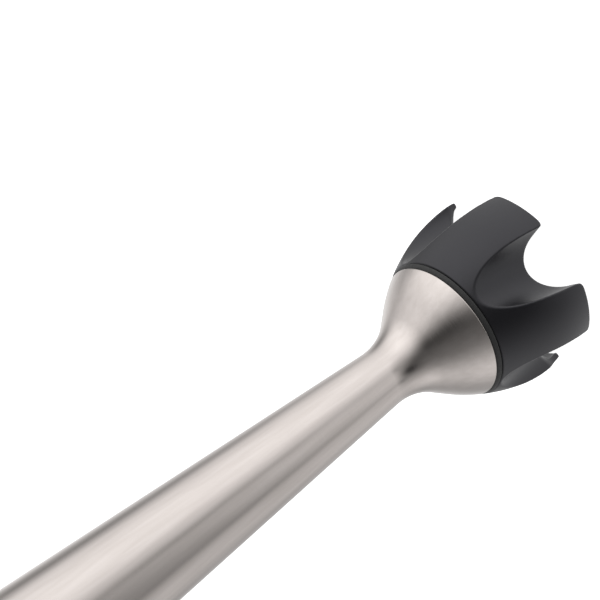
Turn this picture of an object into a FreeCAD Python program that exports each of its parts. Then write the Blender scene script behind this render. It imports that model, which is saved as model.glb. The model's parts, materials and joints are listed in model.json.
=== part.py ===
import FreeCAD, Part
import math
import os
import re
import Sketcher

# Immersion blender, millimetres.  +Z runs up the axis from the mouth of the guard to the
# cord gland, the buttons face -Y, and the origin is the centre of the plane of the tips.

os.makedirs("parts", exist_ok=True)
doc = FreeCAD.newDocument("immersion_blender")

DIMENSIONS = {
    # outer line of the foot: tip, big arc, short straight, neck arc, long cone
    "tip_radius": 33.0, "tip_lean": 4.11, "flare_arc": 65.4, "flare_lean": 38.4,
    "flare_straight": 6.9, "neck_arc": 22.4, "shaft_lean": 3.53, "shaft_top": 212.0,
    "shell_wall": 1.0, "snug": 0.05,
    # guard
    "guard_top": 34.7, "ring_top": 36.6, "lip_top": 40.0, "guard_wall": 1.7,
    "core_radius": 15.0, "flute_radius": 11.1, "side_flute_radius": 11.6, "flute_offset": 33.05,
    "side_flute_turn": 76.0, "back_flute_turn": 145.0, "flute_out": 0.121, "flute_side": 0.19,
    "flute_length": 60.0, "flute_below": 15.0, "notch_radius": 10.6, "side_notch_radius": 11.6,
    "side_notch_turn": 78.0, "notch_start": 13.0, "notch_drop": 0.5,
    # drive line in the foot
    "drive_radius": 3.0, "drive_bottom": 12.0, "drive_top": 213.0, "running_gap": 0.05,
    "hub_radius": 8.85, "hub_bottom": 50.0, "hub_top": 80.0, "seal_top": 55.0,
    "seal_radius": 6.5, "seal_bore": 3.3, "bush_radius": 5.0, "bush_bottom": 56.0,
    "bush_top": 76.0, "hub_bore": 3.5, "blade_bottom": 14.2, "blade_plate": 1.7,
    "blade_reach": 18.5, "blade_flat": 10.0, "blade_rise": 4.6, "blade_width": 10.0, "blade_end": 1.25,
    "nut_radius": 4.6, "nut_bottom": 9.5, "spacer_radius": 4.6, "spacer_top": 46.0,
    "washer_radius": 6.2, "washer_top": 47.5, "clip_radius": 5.4, "clip_bottom": 206.3,
    "clip_top": 207.3, "clip_gap": 4.0,
    # collar at the top of the foot, and its spigot
    "collar_bottom": 196.0, "collar_skirt": 14.0, "web_bottom": 199.0, "web_top": 206.0,
    "upper_bush_radius": 6.0, "flange_top": 216.0, "flange_radius": 19.6, "spigot_radius": 13.0,
    "spigot_top": 238.0, "spigot_bore": 9.2, "catch_radius": 11.8, "catch_bottom": 226.0,
    "catch_top": 236.5, "ring_groove": 11.2, "ring_bottom": 219.1, "ring_height": 1.8,
    # couplings
    "cup_radius": 8.5, "cup_bottom": 208.0, "cup_floor": 214.0, "cup_top": 232.0,
    "socket_radius": 5.2, "socket_reach": 7.0, "socket_rib": 3.4, "plug_radius": 4.8,
    "plug_reach": 6.5, "plug_rib": 2.6, "plug_bottom": 216.0, "plug_top": 234.0,
    "plug_hub": 7.0, "plug_hub_top": 246.0, "rib_count": 3,
    # nose of the handle
    "nose_top": 250.0, "nose_radius": 20.0, "body_radius": 27.5, "nose_arc": 90.0,
    "nose_wall": 2.0, "nose_floor": 219.0, "tube_bore": 13.3, "tube_radius": 14.9,
    "tube_top": 240.0, "pad_half": 5.7, "pad_bottom": 226.8, "pad_top": 235.2,
    "pad_back": 23.4, "pad_face": 26.5, "pad_gap": 0.3, "yoke_bore": 17.4, "yoke_radius": 19.0,
    "yoke_height": 2.2, "left_yoke": 228.0, "right_yoke": 232.6, "hook_tip": 13.5,
    "hook_half": 2.6, "window_start": 17.9, "stem_half": 3.7, "cut_margin": 5.0,
    # housing shells, grip and band
    "band_top": 253.0, "band_radius": 27.7, "band_bore": 24.9, "belly_height": 308.0, "belly_radius": 28.6,
    "shoulder_height": 376.0, "shoulder_radius": 27.0, "housing_top": 384.0,
    "rim_radius": 25.2, "housing_wall": 2.2, "neck_radius": 19.5,
    "neck_bore": 17.6, "neck_top": 396.0, "grip_bottom": 257.0, "grip_top": 343.0,
    "grip_skin": 1.2, "grip_low_radius": 27.6, "grip_high_radius": 28.1,
    "side_arc": 1200.0,
    # buttons and electronics
    "bezel_half": 9.4, "bezel_bottom": 348.6, "bezel_top": 381.0, "bezel_back": 23.6,
    "bezel_proud": 0.4, "button_half": 6.6, "button_height": 13.0, "button_gap": 0.35,
    "turbo_middle": 357.2, "power_middle": 372.4, "button_proud": 1.6, "button_back": 22.6,
    "stem_radius": 1.6, "stem_tip": 22.0, "stem_side": -2.6, "button_round": 3.0,
    "spring_side": 4.8, "spring_radius": 1.4, "spring_wire": 0.25, "spring_length": 4.2,
    "spring_pitch": 1.05, "pocket_bore": 2.1, "pocket_radius": 2.9, "pocket_mouth": 19.6,
    "carrier_face": 13.6, "board_face": 12.0, "board_back": 10.4, "board_half": 13.0,
    "board_bottom": 350.5, "board_top": 381.0, "carrier_half": 10.0, "switch_left": -6.6,
    "switch_length": 8.0, "switch_height": 6.4, "switch_face": 18.0, "plunger_radius": 0.8,
    "plunger_tip": 19.0, "block_back": 4.0, "block_half": 6.5, "capacitor_bottom": 354.0,
    "capacitor_top": 369.0, "terminal_bottom": 372.0, "terminal_top": 380.0,
    # motor
    "motor_axle": 2.5, "axle_bottom": 230.0, "axle_top": 350.0, "bracket_radius": 24.4,
    "lower_bracket_bottom": 260.0, "frame_bottom": 268.0, "frame_top": 342.0,
    "upper_bracket_top": 348.0, "frame_bore": 23.0, "bearing_radius": 8.0,
    "bearing_height": 5.0, "axle_hole": 4.0, "vent_radius": 3.4, "vent_circle": 15.0,
    "vent_count": 4, "vent_turn": 45.0,
    "mount_radius": 25.2, "mount_height": 5.0, "core_bottom": 277.0, "core_top": 318.0,
    "stator_radius": 22.9, "stator_bore": 14.4, "coil_height": 6.5, "coil_inner": 15.4,
    "coil_outer": 21.6, "coil_half": 16.0, "armature_radius": 13.8, "slot_depth": 3.2,
    "slot_width": 2.0, "slot_count": 12, "winding_radius": 11.8, "winding_height": 6.0,
    "commutator_bottom": 328.0, "commutator_top": 340.0, "commutator_radius": 9.0,
    "bar_count": 12, "bar_gap": 0.5, "bar_depth": 0.8, "brush_tip": 9.3, "brush_end": 18.0,
    "brush_half": 2.0, "brush_bottom": 331.0, "brush_top": 337.0, "holder_wall": 1.2,
    "holder_tip": 10.6, "holder_end": 22.7, "bolt_radius": 1.5, "bolt_circle": 19.0,
    "bolt_bottom": 258.0, "bolt_head": 2.8, "bolt_head_top": 350.0, "bolt_hole": 1.6,
    "fan_bottom": 251.0, "fan_top": 256.5, "fan_radius": 19.0, "fan_hub": 6.0,
    "fan_disc": 1.2, "fan_blade": 1.0, "fan_count": 9,
    # dial, cap and gland
    "track_bottom": 384.0, "track_top": 384.4, "track_inner": 20.4, "track_outer": 24.0,
    "wiper_bottom": 384.8, "dial_bottom": 385.6, "dial_top": 395.5, "dial_radius": 25.8,
    "dial_skirt": 24.5, "skirt_gap": 0.4,
    "dial_bore": 20.0, "dial_chamfer": 1.0, "knurl_radius": 1.0, "knurl_count": 32,
    "wiper_half": 2.0, "cap_radius": 25.4, "cap_bottom": 396.0, "cap_top": 402.5,
    "cap_arc": 40.0, "cap_wall": 2.2, "cap_edge": 397.6, "cap_flat": 9.0, "skirt_bottom": 390.0,
    "skirt_wall": 1.6, "gland_radius": 6.0, "gland_flange": 8.2, "gland_top": 405.0,
    "gland_bottom": 388.0, "gland_bore": 3.65, "clamp_bottom": 382.4, "clamp_top": 386.4,
    "clamp_half": 17.4, "clamp_depth": 4.0, "clamp_groove": 3.4,
}

sheet = doc.addObject("Spreadsheet::Sheet", "Dims")
for row, (alias, number) in enumerate(DIMENSIONS.items(), start=1):
    sheet.set("A%d" % row, alias)
    sheet.set("B%d" % row, str(number))
    sheet.setAlias("B%d" % row, alias)
doc.recompute()

subparts = {}
FRONT = 270


def bound(text):
    """An expression with each bare dimension name pointed at the sheet."""
    def pointed(found):
        return "Dims." + found[0] if found[0] in DIMENSIONS else found[0]
    return re.sub(r"[a-z_]+", pointed, str(text))


def value(text):
    """The number that an expression of the sheet's dimensions comes to."""
    result = sheet.evalExpression(bound(text))
    return float(getattr(result, "Value", result))


def keep(label, item):
    item.Label = label
    subparts[label] = item
    return item


# ---- building blocks -------------------------------------------------------------------


def arc_between(start, end, radius, turn):
    """A sketch arc from start to end.  A positive turn goes anticlockwise."""
    half = (end - start) * 0.5
    rise = math.sqrt(max(radius ** 2 - half.Length ** 2, 0.0))
    across = FreeCAD.Vector(-half.y, half.x, 0).normalize() * rise * turn
    centre = start + half + across
    first, last = (start, end) if turn > 0 else (end, start)
    angles = [math.atan2(point.y - centre.y, point.x - centre.x) for point in (first, last)]
    if angles[1] < angles[0]:
        angles[1] += 2 * math.pi
    circle = Part.Circle(centre, FreeCAD.Vector(0, 0, 1), radius)
    return Part.ArcOfCircle(circle, *angles)


def pin_down(sketch, edge, end, horizontal, vertical):
    """Hold one end of an edge at a place that follows the sheet."""
    for kind, text, axis in (("DistanceX", horizontal, -2), ("DistanceY", vertical, -1)):
        number = value(text)
        if abs(number) < 1e-9:
            sketch.addConstraint(Sketcher.Constraint("PointOnObject", edge, end, axis))
            continue
        index = sketch.addConstraint(Sketcher.Constraint(kind, -1, 1, edge, end, number))
        sketch.setExpression("Constraints[%d]" % index, bound(text))


def draw(sketch, outline):
    """Close an outline of (horizontal, vertical[, radius, turn]) corners in a sketch."""
    places = [FreeCAD.Vector(value(corner[0]), value(corner[1]), 0) for corner in outline]
    ends = []
    for index, corner in enumerate(outline):
        start, end = places[index], places[(index + 1) % len(places)]
        if len(corner) == 2:
            sketch.addGeometry(Part.LineSegment(start, end), False)
            ends.append((1, 2))
            continue
        turn = corner[3]
        sketch.addGeometry(arc_between(start, end, value(corner[2]), turn), False)
        ends.append((1, 2) if turn > 0 else (2, 1))
    for index, corner in enumerate(outline):
        before = (index - 1) % len(outline)
        joint = Sketcher.Constraint("Coincident", before, ends[before][1], index, ends[index][0])
        sketch.addConstraint(joint)
        pin_down(sketch, index, ends[index][0], corner[0], corner[1])
        if len(corner) > 2:
            radius = sketch.addConstraint(Sketcher.Constraint("Radius", index, value(corner[2])))
            sketch.setExpression("Constraints[%d]" % radius, bound(corner[2]))


def turned(label, outline, angle=360, reverse=False):
    """A body revolved about Z from an outline of radius and height."""
    body = doc.addObject("PartDesign::Body", label)
    sketch = body.newObject("Sketcher::SketchObject", label + "_outline")
    plane = [item for item in body.Origin.OriginFeatures if item.Role == "XZ_Plane"][0]
    sketch.AttachmentSupport = [(plane, "")]
    sketch.MapMode = "FlatFace"
    draw(sketch, outline)
    revolution = body.newObject("PartDesign::Revolution", label + "_revolution")
    revolution.Profile = sketch
    revolution.ReferenceAxis = (sketch, ["V_Axis"])
    revolution.Angle = angle
    revolution.Reversed = reverse
    body.Tip = revolution
    return body


def tube(label, inner, outer, bottom, top):
    return turned(label, [(inner, bottom), (outer, bottom), (outer, top), (inner, top)])


def cylinder(label, radius, bottom, top, x=0, y=0):
    item = doc.addObject("Part::Cylinder", label)
    item.setExpression("Radius", bound(radius))
    item.setExpression("Height", bound("(%s) - (%s)" % (top, bottom)))
    for axis, text in (("x", x), ("y", y), ("z", bottom)):
        item.setExpression(".Placement.Base." + axis, bound(text))
    return item


def crosswise(label, radius, x, z, back, front):
    """A cylinder along Y, from the plane y = -front to y = -back."""
    item = doc.addObject("Part::Cylinder", label)
    item.setExpression("Radius", bound(radius))
    item.setExpression("Height", bound("(%s) - (%s)" % (front, back)))
    item.Placement.Rotation = FreeCAD.Rotation(FreeCAD.Vector(1, 0, 0), 90)
    for axis, text in (("x", x), ("y", "-(%s)" % back), ("z", z)):
        item.setExpression(".Placement.Base." + axis, bound(text))
    return item


def block(label, xs, ys, zs):
    """A box between two limits on each axis."""
    item = doc.addObject("Part::Box", label)
    for side, axis, (low, high) in (("Length", "x", xs), ("Width", "y", ys), ("Height", "z", zs)):
        item.setExpression(side, bound("(%s) - (%s)" % (high, low)))
        item.setExpression(".Placement.Base." + axis, bound(low))
    return item


def spoke(label, start, reach, width, zs, angle):
    """A box from radius start to radius reach, turned by angle about Z."""
    item = doc.addObject("Part::Box", label)
    item.setExpression("Length", bound("(%s) - (%s)" % (reach, start)))
    item.setExpression("Width", bound(width))
    item.setExpression("Height", bound("(%s) - (%s)" % (zs[1], zs[0])))
    item.Placement.Rotation = FreeCAD.Rotation(FreeCAD.Vector(0, 0, 1), angle)
    along, across = math.cos(math.radians(angle)), math.sin(math.radians(angle))
    x = "%.9f * (%s) + %.9f * (%s) / 2" % (along, start, across, width)
    y = "%.9f * (%s) - %.9f * (%s) / 2" % (across, start, along, width)
    item.setExpression(".Placement.Base.x", bound(x))
    item.setExpression(".Placement.Base.y", bound(y))
    item.setExpression(".Placement.Base.z", bound(zs[0]))
    return item


def joined(label, *items):
    if len(items) == 1:
        return items[0]
    item = doc.addObject("Part::MultiFuse", label)
    item.Shapes = list(items)
    return item


def cut(label, base, *tools):
    item = doc.addObject("Part::Cut", label)
    item.Base = base
    item.Tool = joined(label + "_tools", *tools)
    return item


def shared(label, first, second):
    item = doc.addObject("Part::Common", label)
    item.Base = first
    item.Tool = second
    return item


def bearing_angles(count, first=FRONT):
    """Evenly spaced angles about Z in degrees."""
    number = int(value(count))
    return [first + 360 * index / number for index in range(number)]


def extruded(label, outline, y, length):
    """An outline of x and z, pushed towards -Y from the plane y."""
    sketch = doc.addObject("Sketcher::SketchObject", label + "_outline")
    sketch.Placement.Rotation = FreeCAD.Rotation(FreeCAD.Vector(1, 0, 0), 90)
    draw(sketch, outline)
    sketch.setExpression(".Placement.Base.y", bound(y))
    item = doc.addObject("Part::Extrusion", label)
    item.Base = sketch
    item.DirMode = "Custom"
    item.Dir = FreeCAD.Vector(0, -1, 0)
    item.setExpression("LengthFwd", bound(length))
    item.Solid = True
    return item


def rounded(half, low, high, corner):
    """The outline of a rectangle in x and z with round corners."""
    side = "(%s) - (%s)" % (half, corner)
    outline = []
    for x, z, edge, level in ((side, low, half, "(%s) + (%s)" % (low, corner)),
                              (half, "(%s) - (%s)" % (high, corner), side, high),
                              ("-(%s)" % side, high, "-(%s)" % half, "(%s) - (%s)" % (high, corner)),
                              ("-(%s)" % half, "(%s) + (%s)" % (low, corner), "-(%s)" % side, low)):
        outline += [(x, z, corner, 1), (edge, level)]
    return outline


# ---- outline of the foot ---------------------------------------------------------------
# Each place on the outline takes the depth under the skin, so walls follow the skin.

ARC_RADIUS = "(tip_radius - flare_arc * cos(tip_lean))"
ARC_HEIGHT = "(flare_arc * sin(tip_lean))"


def flare_at(height, depth):
    """Radius of the big arc at a height."""
    return "%s + sqrt((flare_arc - (%s))^2 - ((%s) - %s)^2)" % (ARC_RADIUS, depth, height, ARC_HEIGHT)


def flare_end(depth):
    return ("%s + (flare_arc - (%s)) * cos(flare_lean)" % (ARC_RADIUS, depth),
            "%s + (flare_arc - (%s)) * sin(flare_lean)" % (ARC_HEIGHT, depth))


def neck_start(depth):
    radius, height = flare_end(depth)
    return (radius + " - flare_straight * sin(flare_lean)",
            height + " + flare_straight * cos(flare_lean)")


def neck_end(depth):
    radius, height = neck_start(0)
    reach = "(neck_arc + (%s))" % depth
    return ("%s + neck_arc * cos(flare_lean) - %s * cos(shaft_lean)" % (radius, reach),
            "%s + neck_arc * sin(flare_lean) + %s * sin(shaft_lean)" % (height, reach))


def shaft_at(height, depth):
    radius, start = neck_end(depth)
    return "%s + ((%s) - (%s)) * tan(shaft_lean)" % (radius, height, start)


# ---- foot ------------------------------------------------------------------------------


def around(side_turn, side_radius, radius):
    """Angle and radius of the front scoop, the two at its sides and the two at the back."""
    back = value("back_flute_turn")
    return [(FRONT, radius), (FRONT + value(side_turn), side_radius), (FRONT + back, radius),
            (FRONT - back, radius), (FRONT - value(side_turn), side_radius)]


def flute_cutters(label, wall):
    """Leaning cylinders that scoop the spaces between the petals."""
    cutters = []
    scoops = around("side_flute_turn", "side_flute_radius", "flute_radius")
    for number, (angle, radius) in enumerate(scoops):
        out = FreeCAD.Vector(math.cos(math.radians(angle)), math.sin(math.radians(angle)), 0)
        side = FreeCAD.Vector(-out.y, out.x, 0)
        lean = out * value("flute_out") + side * value("flute_side") + FreeCAD.Vector(0, 0, 1)
        item = doc.addObject("Part::Cylinder", "%s_%d" % (label, number))
        item.setExpression("Radius", bound("%s + %s" % (radius, wall)))
        item.setExpression("Height", bound("flute_length"))
        start = out * value("flute_offset") - lean * value("flute_below")
        item.Placement = FreeCAD.Placement(start, FreeCAD.Rotation(FreeCAD.Vector(0, 0, 1), lean))
        cutters.append(item)
    return cutters


def notch_cutters():
    """Level cylinders that open an arch at the foot of each scoop."""
    cutters = []
    arches = around("side_notch_turn", "side_notch_radius", "notch_radius")
    for number, (angle, radius) in enumerate(arches):
        out = FreeCAD.Vector(math.cos(math.radians(angle)), math.sin(math.radians(angle)), 0)
        item = doc.addObject("Part::Cylinder", "notch_%d" % number)
        item.setExpression("Radius", bound(radius))
        item.setExpression("Height", bound("tip_radius"))
        start = out * value("notch_start") - FreeCAD.Vector(0, 0, value("notch_drop"))
        item.Placement = FreeCAD.Placement(start, FreeCAD.Rotation(FreeCAD.Vector(0, 0, 1), out))
        cutters.append(item)
    return cutters


def blade_guard():
    seat = "shell_wall + snug"
    solid = turned("guard_solid", [
        ("core_radius", 0), ("tip_radius", 0, "flare_arc", 1),
        (flare_at("guard_top", 0), "guard_top"),
        (flare_at("guard_top", seat), "guard_top", "flare_arc - (%s)" % seat, 1),
        (flare_at("lip_top", seat), "lip_top"), ("core_radius", "lip_top")])
    hollow = turned("guard_hollow", [
        ("core_radius - 1", -1), (flare_at(-1, "guard_wall"), -1, "flare_arc - guard_wall", 1),
        (flare_at("lip_top + 1", "guard_wall"), "lip_top + 1"),
        ("core_radius - 1", "lip_top + 1")])
    walls = flute_cutters("flute_wall", "guard_wall")
    inside = cut("guard_inside", hollow, *walls)
    scooped = cut("guard_scooped", solid, *flute_cutters("flute", 0))
    open_ring = cut("guard_open", scooped, inside)
    return keep("blade_guard", cut("guard", open_ring, *notch_cutters()))


def guard_ring():
    seat = "shell_wall + snug"
    return keep("guard_ring", turned("guard_ring", [
        (flare_at("guard_top", seat), "guard_top"),
        (flare_at("guard_top", 0), "guard_top", "flare_arc", 1),
        (flare_at("ring_top", 0), "ring_top"),
        (flare_at("ring_top", seat), "ring_top", "flare_arc - (%s)" % seat, -1)]))


def foot_shell():
    wall = "shell_wall"
    return keep("foot_shell", turned("foot_shell", [
        (flare_at("ring_top", 0), "ring_top", "flare_arc", 1), flare_end(0),
        neck_start(0) + ("neck_arc", -1), neck_end(0),
        (shaft_at("shaft_top", 0), "shaft_top"), (shaft_at("shaft_top", wall), "shaft_top"),
        neck_end(wall) + ("neck_arc + shell_wall", 1), neck_start(wall),
        flare_end(wall) + ("flare_arc - shell_wall", -1),
        (flare_at("ring_top", wall), "ring_top")]))


def bearing_hub():
    return keep("bearing_hub", turned("bearing_hub", [
        ("seal_radius", "hub_bottom"), ("hub_radius", "hub_bottom"), ("hub_radius", "hub_top"),
        ("hub_bore", "hub_top"), ("hub_bore", "bush_top"), ("bush_radius", "bush_top"),
        ("bush_radius", "bush_bottom"), ("hub_bore", "bush_bottom"), ("hub_bore", "seal_top"),
        ("seal_radius", "seal_top")]))


def foot_collar():
    inside = "shell_wall + snug"
    groove_top = "ring_bottom + ring_height"
    return keep("foot_collar", turned("foot_collar", [
        ("collar_skirt", "collar_bottom"), (shaft_at("collar_bottom", inside), "collar_bottom"),
        (shaft_at("shaft_top", inside), "shaft_top"), ("flange_radius", "shaft_top"),
        ("flange_radius", "flange_top"), ("spigot_radius", "flange_top"),
        ("spigot_radius", "ring_bottom"), ("ring_groove", "ring_bottom"),
        ("ring_groove", groove_top), ("spigot_radius", groove_top),
        ("spigot_radius", "catch_bottom"), ("catch_radius", "catch_bottom"),
        ("catch_radius", "catch_top"), ("spigot_radius", "catch_top"),
        ("spigot_radius", "spigot_top"), ("spigot_bore", "spigot_top"),
        ("spigot_bore", "web_top"), ("upper_bush_radius", "web_top"),
        ("upper_bush_radius", "web_bottom"), ("collar_skirt", "web_bottom")]))


def spigot_seal():
    seal = doc.addObject("Part::Torus", "spigot_seal")
    seal.setExpression("Radius1", bound("ring_groove + ring_height / 2"))
    seal.setExpression("Radius2", bound("ring_height / 2"))
    seal.setExpression(".Placement.Base.z", bound("ring_bottom + ring_height / 2"))
    return keep("spigot_seal", seal)


def foot_bushes():
    bore = "drive_radius + running_gap"
    keep("lower_bush", tube("lower_bush", bore, "bush_radius", "bush_bottom", "bush_top"))
    keep("upper_bush", tube("upper_bush", bore, "upper_bush_radius", "web_bottom", "web_top"))
    keep("shaft_seal", tube("shaft_seal", "seal_bore", "seal_radius", "hub_bottom", "seal_top"))


# ---- drive line of the foot --------------------------------------------------------------


def blade():
    """Two wings in one strip, one bent up and the other down, with slanted edges."""
    top = "blade_bottom + blade_plate"
    strip = extruded("blade_strip", [
        ("-blade_reach", "blade_bottom + blade_rise"), ("-blade_flat", "blade_bottom"),
        ("blade_flat", "blade_bottom"), ("blade_reach", "blade_bottom - blade_rise"),
        ("blade_reach", top + " - blade_rise"), ("blade_flat", top), ("-blade_flat", top),
        ("-blade_reach", top + " + blade_rise")], "blade_width", "blade_width * 2")
    plan = doc.addObject("Sketcher::SketchObject", "blade_plan_outline")
    half = "blade_width / 2"
    draw(plan, [
        ("-blade_reach", "-%s" % half), ("blade_flat / 2", "-%s" % half),
        ("blade_reach", "-blade_end"), ("blade_reach", half),
        ("-blade_flat / 2", half), ("-blade_reach", "blade_end")])
    column = doc.addObject("Part::Extrusion", "blade_plan")
    column.Base = plan
    column.DirMode = "Custom"
    column.Dir = FreeCAD.Vector(0, 0, 1)
    column.setExpression("LengthFwd", bound("blade_bottom * 2"))
    column.Solid = True
    wings = shared("blade_wings", strip, column)
    bore = cylinder("blade_bore", "drive_radius", 0, "blade_bottom * 2")
    return keep("blade", cut("blade_body", wings, bore))


def blade_nut():
    nut = doc.addObject("Part::Prism", "nut_hexagon")
    nut.Polygon = 6
    nut.setExpression("Circumradius", bound("nut_radius"))
    nut.setExpression("Height", bound("blade_bottom - nut_bottom"))
    nut.setExpression(".Placement.Base.z", bound("nut_bottom"))
    bore = cylinder("nut_bore", "drive_radius", "drive_bottom", "blade_bottom + 1")
    return keep("blade_nut", cut("nut_body", nut, bore))


def drive_line():
    top = "blade_bottom + blade_plate"
    keep("drive_shaft", cylinder("drive_rod", "drive_radius", "drive_bottom", "drive_top"))
    keep("blade_spacer", tube("blade_spacer", "drive_radius", "spacer_radius", top, "spacer_top"))
    keep("thrust_washer",
         tube("thrust_washer", "drive_radius", "washer_radius", "spacer_top", "washer_top"))
    ring = tube("clip_ring", "drive_radius", "clip_radius", "clip_bottom", "clip_top")
    gap = block("clip_opening", ("-clip_gap / 2", "clip_gap / 2"), ("-clip_radius - 1", 0),
                ("clip_bottom", "clip_top"))
    keep("shaft_clip", cut("clip_body", ring, gap))


def star(label, core, reach, rib, bottom, top):
    """A round core with ribs across it, for the two halves of the coupling."""
    arms = [cylinder(label + "_core", core, bottom, top)]
    for number, angle in enumerate(bearing_angles("rib_count", 0)):
        arms.append(spoke("%s_rib_%d" % (label, number), "-(%s)" % reach, reach, rib,
                          (bottom, top), angle))
    return joined(label, *arms)


def couplings():
    cup = cylinder("cup_body", "cup_radius", "cup_bottom", "cup_top")
    bore = cylinder("cup_bore", "drive_radius", "cup_bottom", "cup_floor")
    socket = star("cup_socket", "socket_radius", "socket_reach", "socket_rib", "cup_floor", "cup_top")
    keep("foot_coupling", cut("cup", cup, bore, socket))
    plug = star("plug_star", "plug_radius", "plug_reach", "plug_rib", "plug_bottom", "plug_top")
    hub = cylinder("plug_hub_body", "plug_hub", "plug_top", "plug_hub_top")
    hole = cylinder("plug_hole", "motor_axle", "axle_bottom", "plug_hub_top")
    keep("motor_coupling", cut("plug", joined("plug_solid", plug, hub), hole))


# ---- motor -------------------------------------------------------------------------------


def armature():
    keep("motor_shaft", cylinder("motor_rod", "motor_axle", "axle_bottom", "axle_top"))
    core = tube("armature_stack", "motor_axle", "armature_radius", "core_bottom", "core_top")
    slots = [spoke("slot_%d" % number, "armature_radius - slot_depth", "armature_radius + 1",
                   "slot_width", ("core_bottom", "core_top"), angle)
             for number, angle in enumerate(bearing_angles("slot_count"))]
    keep("armature_core", cut("armature", core, *slots))
    inner = "motor_axle + 1"
    lower = tube("lower_winding", inner, "winding_radius", "core_bottom - winding_height", "core_bottom")
    upper = tube("upper_winding", inner, "winding_radius", "core_top", "core_top + winding_height")
    keep("armature_windings", joined("windings", lower, upper))
    drum = tube("commutator_drum", "motor_axle", "commutator_radius", "commutator_bottom",
                "commutator_top")
    gaps = [spoke("bar_gap_%d" % number, "commutator_radius - bar_depth", "commutator_radius + 1",
                  "bar_gap", ("commutator_bottom", "commutator_top"), angle)
            for number, angle in enumerate(bearing_angles("bar_count"))]
    keep("commutator", cut("commutator_body", drum, *gaps))


def cooling_fan():
    disc_bottom = "fan_top - fan_disc"
    hub = tube("fan_hub_ring", "motor_axle", "fan_hub", "fan_bottom", "fan_top")
    disc = tube("fan_plate", "fan_hub - 1", "fan_radius", disc_bottom, "fan_top")
    blades = [spoke("fan_blade_%d" % number, "fan_hub - 1", "fan_radius", "fan_blade",
                    ("fan_bottom", "fan_top"), angle)
              for number, angle in enumerate(bearing_angles("fan_count"))]
    keep("cooling_fan", joined("fan", hub, disc, *blades))


def bracket(label, bottom, top, seat_bottom, seat_top):
    """An end plate of the motor with a bearing seat, four vents and two bolt holes."""
    plate = cylinder(label + "_plate", "bracket_radius", bottom, top)
    tools = [cylinder(label + "_seat", "bearing_radius", seat_bottom, seat_top),
             cylinder(label + "_hole", "axle_hole", bottom, top)]
    for number, angle in enumerate(bearing_angles("vent_count", value("vent_turn"))):
        x = "%.9f * vent_circle" % math.cos(math.radians(angle))
        y = "%.9f * vent_circle" % math.sin(math.radians(angle))
        tools.append(cylinder("%s_vent_%d" % (label, number), "vent_radius", bottom, top, x, y))
    tools += bolt_holes(label, bottom, top)
    return keep(label, cut(label + "_body", plate, *tools))


def bolt_holes(label, bottom, top):
    return [cylinder("%s_bolt_hole_%d" % (label, number), "bolt_hole", bottom, top, 0,
                     "%d * bolt_circle" % sign)
            for number, sign in enumerate((-1, 1))]


def motor_frame():
    keep("motor_frame", tube("motor_frame", "frame_bore", "bracket_radius", "frame_bottom", "frame_top"))
    seat = "frame_bottom - bearing_height"
    bracket("lower_bracket", "lower_bracket_bottom", "frame_bottom", seat, "frame_bottom")
    seat = "frame_top + bearing_height"
    bracket("upper_bracket", "frame_top", "upper_bracket_top", "frame_top", seat)
    bore = "motor_axle + running_gap"
    keep("lower_bearing", tube("lower_bearing", bore, "bearing_radius",
                               "frame_bottom - bearing_height", "frame_bottom"))
    keep("upper_bearing", tube("upper_bearing", bore, "bearing_radius",
                               "frame_top", "frame_top + bearing_height"))
    keep("lower_mount", tube("lower_mount", "bracket_radius", "mount_radius",
                             "lower_bracket_bottom", "lower_bracket_bottom + mount_height"))
    keep("upper_mount", tube("upper_mount", "bracket_radius", "mount_radius",
                             "upper_bracket_top - mount_height", "upper_bracket_top"))


def stator():
    stack = tube("stator_stack", "stator_bore", "stator_radius", "core_bottom", "core_top")
    keep("stator_core", cut("stator", stack, *bolt_holes("stator", "core_bottom", "core_top")))
    coils = []
    for name, bottom, top in (("lower", "core_bottom - coil_height", "core_bottom"),
                              ("upper", "core_top", "core_top + coil_height")):
        ring = tube(name + "_coil_ring", "coil_inner", "coil_outer", bottom, top)
        sides = block(name + "_coil_sides", ("-coil_outer", "coil_outer"),
                      ("-coil_half", "coil_half"), (bottom, top))
        coils.append(shared(name + "_coil", ring, sides))
    keep("stator_windings", joined("coils", *coils))


def brushes():
    wall = "holder_wall"
    holders, sticks = [], []
    for name, sign in (("right", 1), ("left", -1)):
        def span(low, high):
            return (low, high) if sign > 0 else ("-(%s)" % high, "-(%s)" % low)
        case = block(name + "_holder_case", span("holder_tip", "holder_end"),
                     ("-brush_half - " + wall, "brush_half + " + wall),
                     ("brush_bottom - " + wall, "brush_top + " + wall))
        slot = block(name + "_holder_slot", span("holder_tip", "holder_end"),
                     ("-brush_half", "brush_half"), ("brush_bottom", "brush_top"))
        holders.append(cut(name + "_holder", case, slot))
        sticks.append(block(name + "_brush", span("brush_tip", "brush_end"),
                            ("-brush_half", "brush_half"), ("brush_bottom", "brush_top")))
    keep("brush_holders", joined("holders", *holders))
    keep("carbon_brushes", joined("sticks", *sticks))


def through_bolts():
    bolts = []
    for number, sign in enumerate((-1, 1)):
        y = "%d * bolt_circle" % sign
        rod = cylinder("bolt_rod_%d" % number, "bolt_radius", "bolt_bottom", "upper_bracket_top", 0, y)
        head = cylinder("bolt_head_%d" % number, "bolt_head", "upper_bracket_top", "bolt_head_top", 0, y)
        nut = cylinder("bolt_nut_%d" % number, "bolt_head", "bolt_bottom", "lower_bracket_bottom", 0, y)
        bolts.append(joined("bolt_%d" % number, rod, head, nut))
    keep("through_bolts", joined("bolts", *bolts))


# ---- handle ------------------------------------------------------------------------------


def nose_outline(proud):
    """Outer line of the nose, from the flange up to the band."""
    return [("nose_radius + %s" % proud, "flange_top", "nose_arc", 1),
            ("body_radius + %s" % proud, "nose_top")]


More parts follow.
